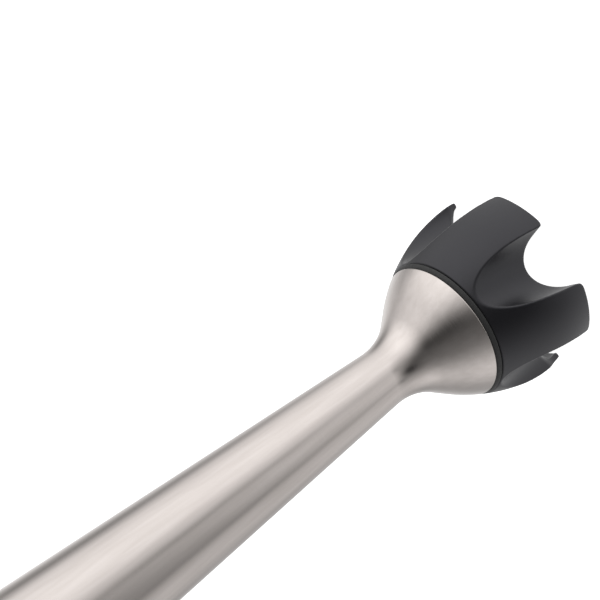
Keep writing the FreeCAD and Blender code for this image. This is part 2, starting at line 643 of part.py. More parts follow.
def handle_nose():
    body = turned("nose_shell", nose_outline(0) + [
        ("body_radius - nose_wall", "nose_top", "nose_arc - nose_wall", -1),
        ("nose_radius - nose_wall + 1", "nose_floor"), ("tube_radius", "nose_floor"),
        ("tube_radius", "tube_top"), ("tube_bore", "tube_top"), ("tube_bore", "flange_top")])
    tools = []
    gap = "pad_gap"
    for name, low, high in (("right", "window_start", "pad_face + cut_margin"),
                            ("left", "-pad_face - cut_margin", "-window_start")):
        tools.append(block(name + "_pad_window", (low, high),
                           ("-pad_half - " + gap, "pad_half + " + gap),
                           ("pad_bottom - " + gap, "pad_top + " + gap)))
    tools.append(block("hook_windows", ("-tube_radius - 1", "tube_radius + 1"),
                       ("-hook_half - 2 * " + gap, "hook_half + 2 * " + gap),
                       ("left_yoke - 2 * " + gap, "right_yoke + yoke_height + 2 * " + gap)))
    return keep("handle_nose", cut("nose", body, *tools))


def release_button(side, bottom):
    """A pad outside the nose, and a yoke round to a hook on the far side."""
    sign = 1 if side == "right" else -1
    top = "(%s) + yoke_height" % bottom

    def span(low, high):
        return (low, high) if sign > 0 else ("-(%s)" % high, "-(%s)" % low)
    label = "release_button_" + side
    yoke = tube(label + "_yoke", "yoke_bore", "yoke_radius", bottom, top)
    pad = block(label + "_pad_block", span("pad_back", "pad_face + 2"),
                ("-pad_half", "pad_half"), ("pad_bottom", "pad_top"))
    limit = turned(label + "_limit", [("tube_radius", "flange_top")] + nose_outline(1)
                   + [("tube_radius", "nose_top")])
    face = shared(label + "_pad", pad, limit)
    stem = block(label + "_stem", span("yoke_radius - 1", "pad_back + 1"),
                 ("-stem_half", "stem_half"), (bottom, top))
    far = block(label + "_hook", span("-yoke_radius + 1", "-hook_tip"),
                ("-hook_half", "hook_half"), (bottom, top))
    return keep(label, joined(label + "_body", yoke, face, stem, far))


def skin(proud):
    """Outer line of the housing, from the band up to the dial."""
    return [("body_radius + %s" % proud, "band_top"),
            ("grip_low_radius + %s" % proud, "grip_bottom", "side_arc", 1),
            ("belly_radius + %s" % proud, "belly_height", "side_arc", 1),
            ("grip_high_radius + %s" % proud, "grip_top"),
            ("shoulder_radius + %s" % proud, "shoulder_height"),
            ("rim_radius + %s" % proud, "housing_top")]


def housing_half(label, reverse):
    wall = "housing_wall"
    return turned(label, [("body_radius - " + wall, "band_top")] + skin(0) + [
        ("neck_radius", "housing_top"), ("neck_radius", "neck_top"), ("neck_bore", "neck_top"),
        ("neck_bore", "housing_top - " + wall), ("rim_radius - " + wall, "housing_top - " + wall),
        ("shoulder_radius - " + wall, "shoulder_height"),
        ("belly_radius - " + wall, "belly_height")], 180, reverse)


def housing():
    front = housing_half("front_shell", True)
    window = block("bezel_window", ("-bezel_half", "bezel_half"),
                   ("-belly_radius - cut_margin", "-bezel_back + cut_margin"), ("bezel_bottom", "bezel_top"))
    keep("housing_front", cut("housing_front_cut", front, window))
    keep("housing_rear", housing_half("rear_shell", False))
    keep("trim_band", tube("trim_band", "band_bore", "band_radius", "nose_top", "band_top"))
    lines = skin(0)[1:4]
    outer = skin("grip_skin")[1:4]
    inner = [(lines[2][0], lines[2][1], "side_arc", -1), (lines[1][0], lines[1][1], "side_arc", -1),
             (lines[0][0], lines[0][1])]
    outer[2] = outer[2][:2]
    keep("grip_sleeve", turned("grip_sleeve", outer + inner))


def bezel_and_buttons():
    limit = turned("bezel_limit", [("core_radius", "band_top")] + skin("bezel_proud")
                   + [("core_radius", "housing_top")])
    plate = block("bezel_plate", ("-bezel_half", "bezel_half"),
                  ("-belly_radius - cut_margin", "-bezel_back"), ("bezel_bottom", "bezel_top"))
    face = shared("bezel_face", plate, limit)
    openings = []
    for name in ("turbo", "power"):
        middle = name + "_middle"
        low, high = middle + " - button_height / 2", middle + " + button_height / 2"
        openings.append(extruded(name + "_opening",
                                 rounded("button_half + button_gap", low + " - button_gap",
                                         high + " + button_gap", "button_round + button_gap"),
                                 "-bezel_back + 1", "bezel_half"))
        pad = extruded(name + "_pad_block", rounded("button_half", low, high, "button_round"),
                       "-button_back", "bezel_half")
        reach = turned(name + "_limit", [("core_radius", "band_top")] + skin("button_proud")
                       + [("core_radius", "housing_top")])
        pad = shared(name + "_pad", pad, reach)
        stem = crosswise(name + "_stem", "stem_radius", "stem_side", middle, "stem_tip",
                         "button_back + 1")
        keep(name + "_button", joined(name + "_button_body", pad, stem))
        keep(name + "_spring", coil_spring(name, value("spring_side"), value(middle)))
    keep("button_bezel", cut("bezel", face, *openings))


def coil_spring(name, x, z):
    """A round wire wound along Y, from the back of a button into its pocket."""
    radius, wire = value("spring_radius"), value("spring_wire")
    path = Part.makeHelix(value("spring_pitch"), value("spring_length") - 2 * wire, radius)
    ring = Part.makeCircle(wire, FreeCAD.Vector(radius, 0, 0), FreeCAD.Vector(0, 1, 0))
    coil = Part.Wire(path).makePipeShell([Part.Wire(ring)], True, True)
    item = doc.addObject("Part::Feature", name + "_coil")
    item.Shape = coil
    turn = FreeCAD.Rotation(FreeCAD.Vector(1, 0, 0), -90)
    item.Placement = FreeCAD.Placement(FreeCAD.Vector(x, wire - value("button_back"), z), turn)
    return item


def electronics():
    board = block("board", ("-board_half", "board_half"), ("-board_face", "-board_back"),
                  ("board_bottom", "board_top"))
    keep("control_board", board)
    plate = block("carrier_plate", ("-carrier_half", "carrier_half"), ("-carrier_face", "-board_face"),
                  ("board_bottom", "board_top"))
    windows, pockets, bores, bodies = [], [], [], []
    for name in ("turbo", "power"):
        middle = name + "_middle"
        low, high = middle + " - switch_height / 2", middle + " + switch_height / 2"
        windows.append(block(name + "_window",
                             ("switch_left - pad_gap", "switch_left + switch_length + pad_gap"),
                             ("-carrier_face", "-board_face"), (low + " - pad_gap", high + " + pad_gap")))
        pockets.append(crosswise(name + "_pocket", "pocket_radius", "spring_side", middle,
                                 "carrier_face", "pocket_mouth"))
        bores.append(crosswise(name + "_bore", "pocket_bore", "spring_side", middle,
                               "carrier_face", "pocket_mouth"))
        case = block(name + "_switch_case", ("switch_left", "switch_left + switch_length"),
                     ("-switch_face", "-board_face"), (low, high))
        plunger = crosswise(name + "_plunger", "plunger_radius", "stem_side", middle,
                            "switch_face", "plunger_tip")
        bodies.append(joined(name + "_switch", case, plunger))
    solid = joined("carrier_solid", plate, *pockets)
    keep("switch_carrier", cut("carrier", solid, *(windows + bores)))
    keep("micro_switches", joined("switches", *bodies))
    for label, bottom, top in (("suppression_capacitor", "capacitor_bottom", "capacitor_top"),
                               ("terminal_block", "terminal_bottom", "terminal_top")):
        keep(label, block(label + "_case", ("-block_half", "block_half"),
                          ("-board_back", "-block_back"), (bottom, top)))


def speed_dial():
    ring = turned("dial_ring", [
        ("dial_bore", "dial_bottom"), ("dial_skirt", "dial_bottom"),
        ("dial_skirt", "housing_top + skirt_gap"), ("dial_radius", "housing_top + skirt_gap"),
        ("dial_radius", "dial_top - dial_chamfer"), ("dial_radius - dial_chamfer", "dial_top"),
        ("dial_bore", "dial_top")])
    grooves = []
    for number, angle in enumerate(bearing_angles("knurl_count")):
        reach = "(dial_radius + knurl_radius / 2)"
        x = "%.9f * %s" % (math.cos(math.radians(angle)), reach)
        y = "%.9f * %s" % (math.sin(math.radians(angle)), reach)
        grooves.append(cylinder("knurl_%d" % number, "knurl_radius", "housing_top", "dial_top", x, y))
    keep("speed_dial", cut("dial", ring, *grooves))
    keep("dial_wiper", block("wiper", ("-wiper_half", "wiper_half"), ("-track_outer", "-track_inner - 1"),
                             ("wiper_bottom", "dial_bottom")))
    keep("speed_track", tube("speed_track", "track_inner", "track_outer", "track_bottom", "track_top"))


def top_end():
    inner = "neck_bore - snug - skirt_wall"
    outer = "neck_bore - snug"
    keep("top_cap", turned("top_cap", [
        ("cap_radius", "cap_bottom"), ("cap_radius", "cap_edge", "cap_arc", 1),
        ("cap_flat", "cap_top"), ("gland_radius", "cap_top"),
        ("gland_radius", "cap_top - cap_wall"), (inner, "cap_edge + snug"),
        (inner, "skirt_bottom"), (outer, "skirt_bottom"), (outer, "cap_bottom")]))
    keep("cord_gland", turned("cord_gland", [
        ("gland_bore", "gland_bottom"), ("gland_radius", "gland_bottom"), ("gland_radius", "cap_top"),
        ("gland_flange", "cap_top"), ("gland_flange - 1", "gland_top"), ("gland_bore", "gland_top")]))
    bar = block("clamp_bar", ("-clamp_half + 1", "clamp_half - 1"), ("-clamp_depth", "clamp_depth"),
                ("clamp_bottom", "clamp_top"))
    groove = cylinder("clamp_bore", "clamp_groove", "clamp_bottom", "clamp_top")
    keep("cord_clamp", cut("clamp", bar, groove))


# ---- make, check and write -----------------------------------------------------------------

for make in (blade_guard, guard_ring, foot_shell, bearing_hub, foot_collar, spigot_seal, foot_bushes,
             blade, blade_nut, drive_line, couplings, armature, cooling_fan, motor_frame, stator,
             brushes, through_bolts, handle_nose, housing, bezel_and_buttons, electronics,
             speed_dial, top_end):
    make()
release_button("left", "left_yoke")
release_button("right", "right_yoke")
doc.recompute()

failed = [item.Name for item in doc.Objects if {"Invalid", "Error"} & set(item.State)]
failed += [label for label, item in subparts.items() if item.Shape.isNull() or not item.Shape.isValid()]
if failed:
    raise SystemExit("failed: " + ", ".join(failed))
for label, item in subparts.items():
    item.Shape.exportStep("parts/%s.step" % label)
    print("%-22s %9.1f mm3  %d solids" % (label, item.Shape.Volume, len(item.Shape.Solids)))
print(len(subparts), "sub-parts")
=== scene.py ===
import json
import math

import bpy
import numpy as np
import openvdb
from mathutils import Matrix, Vector


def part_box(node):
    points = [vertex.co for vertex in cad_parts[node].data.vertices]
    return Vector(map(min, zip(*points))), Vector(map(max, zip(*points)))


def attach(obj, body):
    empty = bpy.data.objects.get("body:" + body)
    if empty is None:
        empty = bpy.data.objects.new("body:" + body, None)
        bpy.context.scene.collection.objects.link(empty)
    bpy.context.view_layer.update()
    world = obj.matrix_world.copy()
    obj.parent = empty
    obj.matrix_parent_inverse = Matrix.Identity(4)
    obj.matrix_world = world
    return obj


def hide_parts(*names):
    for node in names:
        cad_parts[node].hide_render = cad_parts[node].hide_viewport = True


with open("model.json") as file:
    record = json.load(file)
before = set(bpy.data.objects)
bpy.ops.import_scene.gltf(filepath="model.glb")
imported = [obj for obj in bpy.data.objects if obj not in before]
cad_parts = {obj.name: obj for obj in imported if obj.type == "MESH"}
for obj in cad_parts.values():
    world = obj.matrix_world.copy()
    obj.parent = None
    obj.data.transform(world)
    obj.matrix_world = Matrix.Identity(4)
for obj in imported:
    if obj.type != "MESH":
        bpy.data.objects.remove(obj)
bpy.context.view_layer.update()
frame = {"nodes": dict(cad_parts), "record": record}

MM = 0.001

# The outline of the foot in millimetres and degrees, by the names that the CAD model gives them.
TIP_RADIUS = 33.0
TIP_LEAN = math.radians(4.11)
FLARE_ARC = 65.4
FLARE_LEAN = math.radians(38.4)
FLARE_STRAIGHT = 6.9
NECK_ARC = 22.4
SHAFT_LEAN = math.radians(3.53)
SHELL_WALL = 1.0
GUARD_WALL = 1.7
LIP_GAP = 0.05
# Each scoop's turn from the front and radius, and its arch's turn and radius.
FLUTES = ((0, 11.1, 0, 10.6), (76, 11.6, 78, 11.6), (145, 11.1, 145, 10.6),
          (215, 11.1, 215, 10.6), (284, 11.6, 282, 11.6))
FLUTE_OFFSET = 33.05
FLUTE_OUT = 0.121
FLUTE_SIDE = 0.19
NOTCH_DROP = 0.5
FRONT = math.radians(270)
SPINDLE_RADIUS = 3.0
ARC_CENTRE = (TIP_RADIUS - FLARE_ARC * math.cos(TIP_LEAN), FLARE_ARC * math.sin(TIP_LEAN))


def low(node):
    """The lowest corner of a CAD node's box, in millimetres."""
    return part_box(node)[0] / MM


def high(node):
    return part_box(node)[1] / MM


def middle(node):
    return (low(node) + high(node)) / 2


# Heights that the frame gives.
RING_BOTTOM = low("guard_ring").z
RING_TOP = high("guard_ring").z
LIP_TOP = high("blade_guard").z
SHAFT_TOP = high("foot_shell").z
FLANGE_TOP = low("handle_nose").z
SPIGOT_TOP = high("foot_collar").z
BAND_BOTTOM = low("trim_band").z
BAND_TOP = high("trim_band").z
PAD_MIDDLE = middle("release_button_right").z
HOUSING_TOP = low("speed_track").z


# ---- meshes ----------------------------------------------------------------------------


def piece(name, mesh, body, material, stands_for=None):
    """A finished mesh as a piece that rides on a body and may stand for a CAD node."""
    made = bpy.data.objects.new(name, mesh)
    bpy.context.scene.collection.objects.link(made)
    mesh.materials.append(material)
    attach(made, body)
    if stands_for:
        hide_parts(stands_for)
    return made


def mesh_of(name, points, faces, normals=None):
    """A smooth mesh, in metres, from points in millimetres."""
    mesh = bpy.data.meshes.new(name)
    mesh.from_pydata((np.asarray(points, float) * MM).tolist(), [], faces)
    mesh.update()
    mesh.shade_smooth()
    if normals is not None:
        mesh.normals_split_custom_set_from_vertices(normals)
    return mesh


def arc(centre, radius, start, end, steps):
    """Points along an arc in the plane of radius and height, angles in radians."""
    angles = np.linspace(start, end, steps)
    return [(centre[0] + radius * math.cos(a), centre[1] + radius * math.sin(a)) for a in angles]


def softened(corners, radius, steps=4):
    """A closed outline with each corner rounded, the radius cut down where a side is short."""
    outline = []
    places = [Vector(corner[:2]) for corner in corners]
    for index, here in enumerate(places):
        before, after = places[index - 1], places[(index + 1) % len(places)]
        inward, outward = (before - here), (after - here)
        turn = inward.angle(outward)
        if turn > math.radians(170):
            outline.append(tuple(here))
            continue
        reach = min(radius / math.tan(turn / 2), 0.45 * inward.length, 0.45 * outward.length)
        start, end = here + inward.normalized() * reach, here + outward.normalized() * reach
        for step in range(steps + 1):
            t = step / steps
            outline.append(tuple(start.lerp(here, t).lerp(here.lerp(end, t), t)))
    return outline


def lathe(name, outline, body, material, stands_for=None, segments=160):
    """A closed outline of radius and height, turned about Z."""
    ring = np.array(outline)
    angles = np.linspace(0, 2 * math.pi, segments, endpoint=False)
    turned = np.stack([np.outer(np.cos(angles), ring[:, 0]), np.outer(np.sin(angles), ring[:, 0]),
                       np.outer(np.ones(segments), ring[:, 1])], axis=-1)
    count = len(ring)
    index = np.arange(segments * count).reshape(segments, count)
    beside, above = np.roll(index, -1, 0), np.roll(index, -1, 1)
    across = np.roll(beside, -1, 1)
    faces = np.stack([index, beside, across, above], -1).reshape(-1, 4)
    area = sum(a[0] * b[1] - b[0] * a[1] for a, b in zip(outline, outline[1:] + outline[:1]))
    if area < 0:
        faces = faces[:, ::-1]
    made = piece(name, mesh_of(name, turned.reshape(-1, 3), faces.tolist()), body, material, stands_for)
    made.modifiers.new("even_normals", "WEIGHTED_NORMAL").keep_sharp = True
    return made


CARVE_MARGIN = Vector((1.2, 1.2, 1.2))


def smooth_max(a, b, blend):
    """The larger of two distances, with a round edge where they meet."""
    share = np.clip(0.5 + 0.5 * (a - b) / blend, 0, 1)
    return b + (a - b) * share + blend * share * (1 - share)


def carve(name, solid, step, body, material, node):
    """The surface where a distance function is zero, with its own normals, in a node's place."""
    lowest, highest = low(node) - CARVE_MARGIN, high(node) + CARVE_MARGIN
    sizes = [int(math.ceil((b - a) / step)) + 1 for a, b in zip(lowest, highest)]
    axes = [np.float32(a + step * np.arange(n)) for a, n in zip(lowest, sizes)]
    field = solid(*np.meshgrid(*axes, indexing="ij", sparse=True))
    grid = openvdb.FloatGrid(float(4 * step))
    grid.copyFromArray(np.ascontiguousarray(field, dtype=np.float32))
    points, triangles, quads = grid.convertToPolygons(isovalue=0.0, adaptivity=0.0)
    points = np.asarray(lowest) + points.astype(float) * step

    def slope(at):
        nudge = 0.02
        rise = [solid(*(at + nudge * axis).T) - solid(*(at - nudge * axis).T) for axis in np.eye(3)]
        return np.stack(rise, -1) / (2 * nudge)

    for _ in range(3):
        gradient = slope(points)
        steepness = np.maximum((gradient ** 2).sum(1), 0.05)
        move = gradient * (solid(*points.T) / steepness)[:, None]
        points -= np.clip(move, -0.5 * step, 0.5 * step)
    normals = slope(points)
    normals /= np.maximum(np.linalg.norm(normals, axis=1), 1e-6)[:, None]
    faces = [tuple(face) for face in quads] + [tuple(face) for face in triangles]
    first, second, third = (points[[face[number] for face in faces]] for number in range(3))
    facing = np.cross(second - first, third - first) * normals[[face[0] for face in faces]]
    if facing.sum() < 0:
        faces = [face[::-1] for face in faces]
    piece(name, mesh_of(name, points, faces, normals), body, material, node)


# ---- materials -------------------------------------------------------------------------


class Look:
    """A Principled material with a few procedural parts."""

    def __init__(self, name, **values):
        self.material = bpy.data.materials.new(name)
        self.material.use_nodes = True
        self.tree = self.material.node_tree
        self.shader = self.tree.nodes["Principled BSDF"]
        for key, number in values.items():
            self.shader.inputs[key.replace("_", " ")].default_value = number

    def add(self, kind, **settings):
        node = self.tree.nodes.new(kind)
        for key, number in settings.items():
            setattr(node, key, number)
        return node

    def link(self, output, socket):
        self.tree.links.new(output, socket)

    def noise(self, scale, stretch=(1, 1, 1), detail=3.0):
        """Noise in the object's own space, in features per metre, squeezed along each axis."""
        place = self.add("ShaderNodeTexCoord")
        mapping = self.add("ShaderNodeMapping")
        mapping.inputs["Scale"].default_value = stretch
        texture = self.add("ShaderNodeTexNoise")
        texture.inputs["Scale"].default_value = scale
        texture.inputs["Detail"].default_value = detail
        self.link(place.outputs["Object"], mapping.inputs["Vector"])
        self.link(mapping.outputs["Vector"], texture.inputs["Vector"])
        return texture.outputs["Fac"]

    def between(self, source, socket, lowest, highest):
        """Spread a 0 to 1 source between two values on a socket."""
        spread = self.add("ShaderNodeMapRange")
        spread.inputs["From Min"].default_value = 0.3
        spread.inputs["From Max"].default_value = 0.7
        spread.inputs["To Min"].default_value = lowest
        spread.inputs["To Max"].default_value = highest
        self.link(source, spread.inputs["Value"])
        self.link(spread.outputs["Result"], self.shader.inputs[socket])

    def tint(self, source, dark, light):
        """Spread a 0 to 1 source between two colours."""
        ramp = self.add("ShaderNodeValToRGB")
        ramp.color_ramp.elements[0].position = 0.3
        ramp.color_ramp.elements[1].position = 0.7
        ramp.color_ramp.elements[0].color = (*dark, 1)
        ramp.color_ramp.elements[1].color = (*light, 1)
        self.link(source, ramp.inputs["Fac"])
        self.link(ramp.outputs["Color"], self.shader.inputs["Base Color"])

    def bump(self, source, strength, depth):
        node = self.add("ShaderNodeBump")
        node.inputs["Strength"].default_value = strength
        node.inputs["Distance"].default_value = depth
        self.link(source, node.inputs["Height"])
        self.link(node.outputs["Normal"], self.shader.inputs["Normal"])


def brushed_steel():
    """Satin stainless with a warm cast and fine brushing round the axis."""
    look = Look("satin_steel", Metallic=1.0, Roughness=0.26, Anisotropic=0.7, Anisotropic_Rotation=0.25)
    lines = look.noise(1.0, (30.0, 30.0, 3500.0), 2.0)
    streaks = look.noise(1.0, (500.0, 500.0, 30.0), 3.0)
    look.tint(streaks, (0.438, 0.402, 0.382), (0.474, 0.437, 0.418))
    look.between(lines, "Roughness", 0.17, 0.21)
    around = look.add("ShaderNodeTangent", direction_type="RADIAL", axis="Z")
    look.link(around.outputs["Tangent"], look.shader.inputs["Tangent"])
    return look.material


def satin_plastic(name, dark, light, rough=(0.36, 0.46), grain=900.0, grit=0.1, gloss=(1, 1, 1, 1)):
    """Moulded plastic with a fine spark-eroded grain."""
    look = Look(name, Roughness=0.4, Specular_Tint=gloss)
    grain_source = look.noise(grain, detail=2.0)
    look.tint(look.noise(40.0, detail=4.0), dark, light)
    look.between(grain_source, "Roughness", *rough)
    look.bump(grain_source, grit, 0.00002)
    return look.material


def plain_metal(name, dark, light, rough):
    look = Look(name, Metallic=1.0, Roughness=0.3)
    marks = look.noise(300.0, detail=4.0)
    look.tint(marks, dark, light)
    look.between(marks, "Roughness", *rough)
    look.bump(marks, 0.1, 0.00003)
    return look.material


def rubber(name, dark, light):
    look = Look(name, Roughness=0.6)
    grain_source = look.noise(1400.0, detail=2.0)
    look.tint(look.noise(60.0), dark, light)
    look.between(grain_source, "Roughness", 0.55, 0.7)
    look.bump(grain_source, 0.2, 0.00005)
    return look.material


STEEL = brushed_steel()
BLACK = satin_plastic("satin_black_plastic", (0.0009, 0.0009, 0.0016), (0.0014, 0.0014, 0.0022),
                      (0.34, 0.38), grit=0.02, gloss=(0.94, 0.93, 1, 1))
HOUSING = satin_plastic("textured_black_plastic", (0.012, 0.012, 0.013), (0.016, 0.016, 0.017),
                        (0.42, 0.52), 1600.0)
MARK = satin_plastic("dial_mark", (0.75, 0.75, 0.75), (0.8, 0.8, 0.8))
SEAL = rubber("black_seal", (0.008, 0.008, 0.008), (0.012, 0.012, 0.012))
GRIP = rubber("soft_grip", (0.010, 0.010, 0.011), (0.015, 0.015, 0.016))
BUTTON = rubber("button_grey", (0.10, 0.10, 0.103), (0.13, 0.13, 0.133))
NYLON = satin_plastic("natural_nylon", (0.62, 0.60, 0.54), (0.70, 0.68, 0.62), (0.35, 0.5))
TURNED = plain_metal("turned_steel", (0.55, 0.55, 0.55), (0.65, 0.65, 0.65), (0.2, 0.3))
BRONZE = plain_metal("sintered_bronze", (0.45, 0.28, 0.12), (0.55, 0.36, 0.16), (0.35, 0.5))
COPPER = plain_metal("copper", (0.55, 0.22, 0.10), (0.66, 0.28, 0.13), (0.25, 0.4))
SHEET = plain_metal("stacked_sheet", (0.20, 0.20, 0.21), (0.28, 0.28, 0.29), (0.4, 0.55))
CAST = plain_metal("die_cast", (0.6, 0.6, 0.61), (0.7, 0.7, 0.71), (0.4, 0.5))
CARBON = satin_plastic("carbon", (0.02, 0.02, 0.02), (0.035, 0.035, 0.035), (0.5, 0.6))
BOARD = satin_plastic("circuit_board", (0.008, 0.012, 0.009), (0.012, 0.018, 0.013), (0.3, 0.4))
CASE = satin_plastic("capacitor_case", (0.60, 0.48, 0.07), (0.68, 0.55, 0.09), (0.35, 0.45))

SLOT_LOOKS = {
    "guard_plastic": BLACK, "soft_seal": SEAL, "foot_steel": STEEL, "turned_steel": TURNED,
    "bronze": BRONZE, "nylon": NYLON, "black_plastic": HOUSING, "grip_rubber": GRIP,
    "button_rubber": BUTTON, "laminated_steel": SHEET, "copper": COPPER, "carbon": CARBON,
    "cast_aluminium": CAST, "circuit_board": BOARD, "capacitor_case": CASE,
}


def dress_frame():
    """Give every CAD node the look of its material slot."""
    for entry in frame["record"]["subparts"]:
        mesh = frame["nodes"][entry["node"]].data
        mesh.materials.clear()
        mesh.materials.append(SLOT_LOOKS[entry["material_slot"]])


# ---- foot --------------------------------------------------------------------------------


def flare_radius(height, depth=0.0):
    reach = FLARE_ARC - depth
    return ARC_CENTRE[0] + math.sqrt(reach ** 2 - (height - ARC_CENTRE[1]) ** 2)


def foot_side(depth, bottom, top, steps):
    """One side of the steel wall, from the seam to the top, at a depth under the skin."""
    reach = FLARE_ARC - depth
    start = math.asin((bottom - ARC_CENTRE[1]) / reach)
    side = arc(ARC_CENTRE, reach, start, FLARE_LEAN, steps)
    tangent = Vector((-math.sin(FLARE_LEAN), math.cos(FLARE_LEAN)))
    outward = Vector((math.cos(FLARE_LEAN), math.sin(FLARE_LEAN)))
    centre = Vector(ARC_CENTRE) + outward * (FLARE_ARC + NECK_ARC) + tangent * FLARE_STRAIGHT
    side += arc(centre, NECK_ARC + depth, math.pi + FLARE_LEAN, math.pi - SHAFT_LEAN, steps)
    radius, height = side[-1]
    for step in range(1, steps + 1):
        level = height + (top - height) * step / steps
        side.append((radius + (level - height) * math.tan(SHAFT_LEAN), level))
    return side


def shaft_radius(height, depth):
    """Radius of the long cone at a height and a depth under the skin."""
    side = foot_side(depth, RING_TOP, SHAFT_TOP, 2)
    (first, bottom), (last, top) = side[-2:]
    return last - (top - height) * (last - first) / (top - bottom)


def foot_shell():
    edge = 0.15
    outer = foot_side(0.0, RING_TOP + edge, SHAFT_TOP, 40)
    inner = foot_side(SHELL_WALL, RING_TOP + edge, SHAFT_TOP, 40)
    rim = [(flare_radius(RING_TOP, SHELL_WALL - edge), RING_TOP), (flare_radius(RING_TOP, edge), RING_TOP)]
    lathe("steel_foot", outer + inner[::-1] + rim, "foot", STEEL, "foot_shell", 256)


def guard_ring():
    """A thin ring between steel and guard, with a fine groove at each side."""
    half = (RING_TOP - RING_BOTTOM) / 2
    sunk, groove = 0.08, 0.3
    shares = np.linspace(-1, 1, 7)
    outer = [(flare_radius(RING_BOTTOM + half * (1 + share), sunk + groove * share ** 4),
              RING_BOTTOM + half * (1 + share)) for share in shares]
    inner = [(flare_radius(level, SHELL_WALL + LIP_GAP), level) for _, level in outer[::-1]]
    lathe("seam_ring", outer + inner, "foot", SEAL, "guard_ring", 256)


def turned_to(x, y, turn):
    """Distances out along a direction, given by its turn from the front, and to its side."""
    angle = FRONT + math.radians(turn)
    return x * math.cos(angle) + y * math.sin(angle), y * math.cos(angle) - x * math.sin(angle)


def guard_solid(x, y, z):
    """Distance to the guard: an arched wall, scooped by leaning cylinders and open at the arches.

    The front petals' corners are rounder than those of the back ones.
    """
    radial = np.sqrt(x ** 2 + y ** 2)
    from_arc = np.sqrt((radial - ARC_CENTRE[0]) ** 2 + (z - ARC_CENTRE[1]) ** 2)
    outer = from_arc - FLARE_ARC + 0.02
    inner = from_arc - (FLARE_ARC - GUARD_WALL)
    lip = from_arc - (FLARE_ARC - SHELL_WALL - 2 * LIP_GAP)
    roundness = 0.8 + 2.4 * np.clip(-2 * y / TIP_RADIUS, 0, 1)
    arches = -np.inf
    lean = np.array([FLUTE_OUT, FLUTE_SIDE, 1.0])
    lean /= np.linalg.norm(lean)
    for turn, scoop, arch_turn, notch in FLUTES:
        out, side = turned_to(x, y, turn)
        along = (out - FLUTE_OFFSET) * lean[0] + side * lean[1] + z * lean[2]
        gap = np.sqrt((out - FLUTE_OFFSET - along * lean[0]) ** 2 + (side - along * lean[1]) ** 2
                      + (z - along * lean[2]) ** 2)
        outer = smooth_max(outer, scoop - gap, 0.5)
        inner = smooth_max(inner, scoop + GUARD_WALL - gap, 1.5)
        out, side = turned_to(x, y, arch_turn)
        arch = notch - np.sqrt(side ** 2 + (z + NOTCH_DROP) ** 2)
        arches = np.maximum(arches, np.where(out > 0, arch, -notch))
    seam = smooth_max(outer, z - RING_BOTTOM, 0.35)
    collar = np.maximum(np.maximum(lip, z - LIP_TOP), RING_BOTTOM - 1.0 - z)
    solid = np.minimum(seam, collar)
    solid = smooth_max(solid, -inner, 0.5)
    return smooth_max(solid, smooth_max(-z, arches, roundness), 0.7)


def blade_guard():
    carve("petal_guard", guard_solid, 0.42, "foot", BLACK, "blade_guard")


def foot_collar():
    """The moulded ring that closes the cone, with the spigot that the handle holds."""
    skirt, web, bush, flange, bore = 14, 199, 6, high("foot_collar").x, 9.2
    spigot, catch, groove = 13, 11.8, 11.2
    bottom = low("foot_collar").z
    cone = [(shaft_radius(level, SHELL_WALL + LIP_GAP), level) for level in (bottom, SHAFT_TOP)]
    flanged = [(skirt, bottom), *cone, (flange, SHAFT_TOP), (flange, FLANGE_TOP), (spigot, FLANGE_TOP)]
    grooved = [(spigot, FLANGE_TOP + 3.1), (groove, FLANGE_TOP + 3.1), (groove, FLANGE_TOP + 4.9),
               (spigot, FLANGE_TOP + 4.9)]
    caught = [(spigot, SPIGOT_TOP - 12), (catch, SPIGOT_TOP - 12), (catch, SPIGOT_TOP - 1.5),
              (spigot, SPIGOT_TOP - 1.5), (spigot, SPIGOT_TOP)]
    inside = [(bore, SPIGOT_TOP), (bore, web + 7), (bush, web + 7), (bush, web), (skirt, web)]
    lathe("collar", softened(flanged + grooved + caught + inside, 0.5), "foot", HOUSING, "foot_collar")


def blade_solid(x, y, z):
    """A strip with one end bent up and one down, narrowed and ground on its leading edges."""
    thick, bend, rise, half, root = 1.7, 10.0, 4.6, high("blade").y, 5.0
    reach, tip = high("blade").x, 1.25
    run = np.abs(x)
    bent = np.sign(x) * np.clip(run - bend, 0, None) * rise / (reach - bend)
    level = z - middle("blade").z + bent
    side = np.where(x > 0, y, -y)
    leading = -side - half + (half - tip) * np.clip((run - root) / (reach - root), 0, 1)
    ground = 0.55 * (level - thick / 2) + 0.84 * (leading + 1.9)
    solid = np.maximum(np.maximum(np.abs(level) - thick / 2, side - half), leading)
    solid = np.maximum(np.maximum(solid, np.where(run > root + 0.5, ground, -half)), run - reach)
    return smooth_max(solid, SPINDLE_RADIUS - np.sqrt(x ** 2 + y ** 2), 0.2)


def nut_solid(x, y, z):
    """A hexagon nut with its corners turned off, over the end of the spindle."""
    bottom, top, flat, crown = low("blade_nut").z, high("blade_nut").z, high("blade_nut").y, 9.0
    faces = [np.abs(x * math.cos(angle) + y * math.sin(angle)) - flat
             for angle in (math.radians(30), math.radians(90), math.radians(150))]
    sides = smooth_max(smooth_max(faces[0], faces[1], 0.2), faces[2], 0.2)
    radial = np.sqrt(x ** 2 + y ** 2)
    turned = np.sqrt(radial ** 2 + (z - bottom - crown) ** 2) - crown
    solid = smooth_max(smooth_max(sides, turned, 0.2), z - top, 0.2)
    spindle = np.maximum(SPINDLE_RADIUS - radial, bottom + 2.5 - z)
    return smooth_max(solid, spindle, 0.15)


def blade_parts():
    carve("cutting_blade", blade_solid, 0.3, "foot_drive", TURNED, "blade")
    carve("blade_cap_nut", nut_solid, 0.3, "foot_drive", TURNED, "blade_nut")


# ---- handle ------------------------------------------------------------------------------

